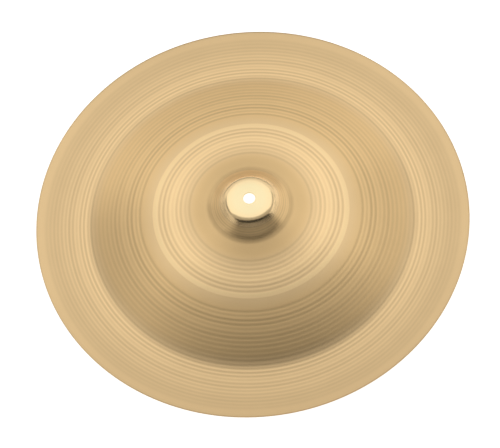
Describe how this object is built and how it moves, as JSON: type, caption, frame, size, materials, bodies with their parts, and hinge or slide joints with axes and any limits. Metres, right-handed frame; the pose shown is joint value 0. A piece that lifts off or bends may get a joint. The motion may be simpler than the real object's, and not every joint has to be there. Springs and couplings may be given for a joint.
{
  "type": "china cymbal",
  "caption": "Round bronze cymbal with a small steep bell, a low domed bow and a broad flange turned up beyond a crease, hung on a stand by the hole in its bell.",
  "frame": {"origin": "on the axis of the hole, at the height of the ring under the crease that the cymbal lies on", "axes": "+Z along the axis, out of the top of the bell; X and Y are alike, because the cymbal is round"},
  "size_m": [0.4572, 0.4572, 0.0384],
  "materials": {
    "bronze": "turned bronze with fine lathe rings, satin on the bow and flange and polished on the bell"
  },
  "bodies": {
    "root": {"cymbal": "bronze"}
  },
  "joints": []
}
